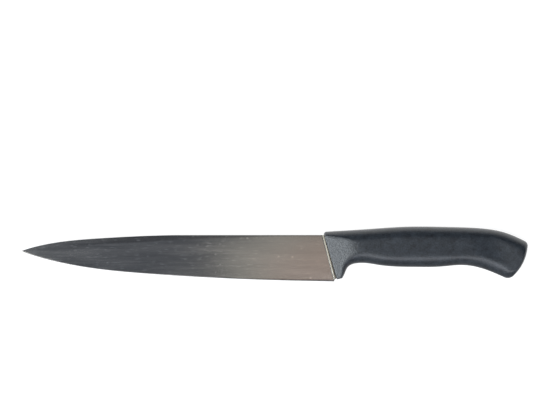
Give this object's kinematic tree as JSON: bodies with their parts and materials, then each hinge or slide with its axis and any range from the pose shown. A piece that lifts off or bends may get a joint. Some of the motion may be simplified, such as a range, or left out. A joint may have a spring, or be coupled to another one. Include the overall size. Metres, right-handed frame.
{
  "type": "carving knife",
  "caption": "Carving knife with a long, narrow, pointed ground steel blade and a black moulded plastic handle with a finger guard and a hooked butt.",
  "frame": {"origin": "centre of the knife's outline seen from above, on the plane that its lower cheek lies on", "axes": "+X from the blade's tip to the handle's butt, +Y from the cutting edge to the back, +Z across the thickness, away from the plane that it lies on"},
  "size_m": [0.3388, 0.0368, 0.018],
  "materials": {
    "blade_steel": "satin ground",
    "handle_plastic": "satin, finely grained"
  },
  "bodies": {
    "root": {"blade": "blade_steel", "handle": "handle_plastic"}
  },
  "joints": []
}
